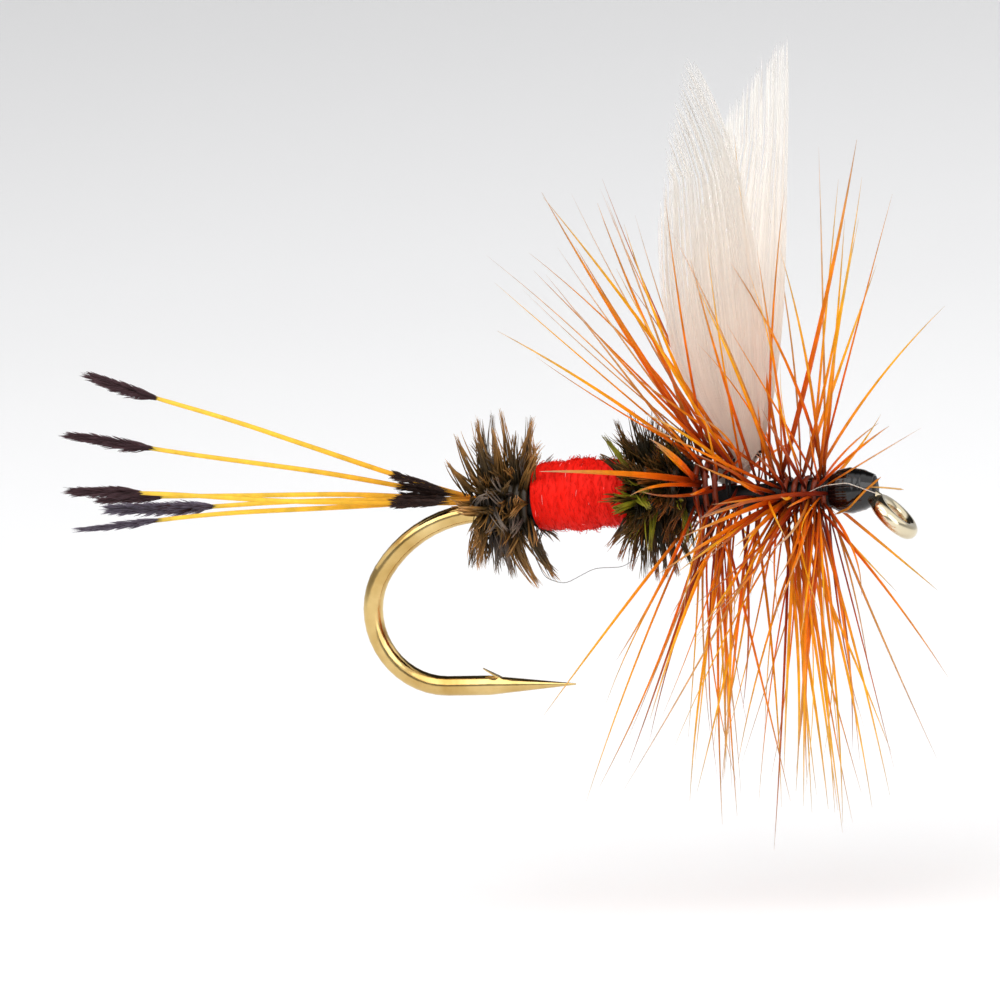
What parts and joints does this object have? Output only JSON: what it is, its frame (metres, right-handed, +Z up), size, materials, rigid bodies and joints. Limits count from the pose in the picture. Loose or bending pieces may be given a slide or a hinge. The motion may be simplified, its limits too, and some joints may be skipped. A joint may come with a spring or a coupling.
{
  "type": "dry fly",
  "caption": "Dry fly on a down-eye hook: fibre tail, herl body with a floss band, upright divided wings, wound hackle collar and a tapered thread head.",
  "frame": {"origin": "centre of the hook eye's bore", "axes": "+X forward along the shank towards the eye, +Z up towards the wings, +Y to the fly's left; the hook lies in the XZ plane"},
  "size_m": [0.0243, 0.0196, 0.0221],
  "materials": {
    "hook_wire": "bronzed, polished",
    "tying_thread": "waxed thread",
    "red_floss": "silky floss",
    "herl_flue": "feather barbules",
    "herl_quill": "feather quill",
    "white_feather": "translucent feather",
    "hackle_quill": "feather quill",
    "hackle_barbs": "glossy feather barbs",
    "tail_feather": "feather fibre",
    "head_thread": "waxed thread",
    "head_cement": "clear varnish over black thread"
  },
  "bodies": {
    "root": {"hook": "hook_wire", "thread_base": "tying_thread", "tail_binding_thread": "tying_thread", "body_underwrap": "tying_thread", "floss_body": "red_floss", "rear_herl_flue": "herl_flue", "front_herl_flue": "herl_flue", "rear_herl_strand_1": "herl_quill", "rear_herl_strand_2": "herl_quill", "front_herl_strand_1": "herl_quill", "front_herl_strand_2": "herl_quill", "left_wing": "white_feather", "right_wing": "white_feather", "wing_binding_thread": "tying_thread", "rear_hackle_quill": "hackle_quill", "front_hackle_quill": "hackle_quill", "rear_hackle_barbs": "hackle_barbs", "front_hackle_barbs": "hackle_barbs", "head_thread": "head_thread", "head_cement": "head_cement", "tail_fibre_1": "tail_feather", "tail_fibre_2": "tail_feather", "tail_fibre_3": "tail_feather", "tail_fibre_4": "tail_feather", "tail_fibre_5": "tail_feather", "tail_fibre_6": "tail_feather"}
  },
  "joints": []
}
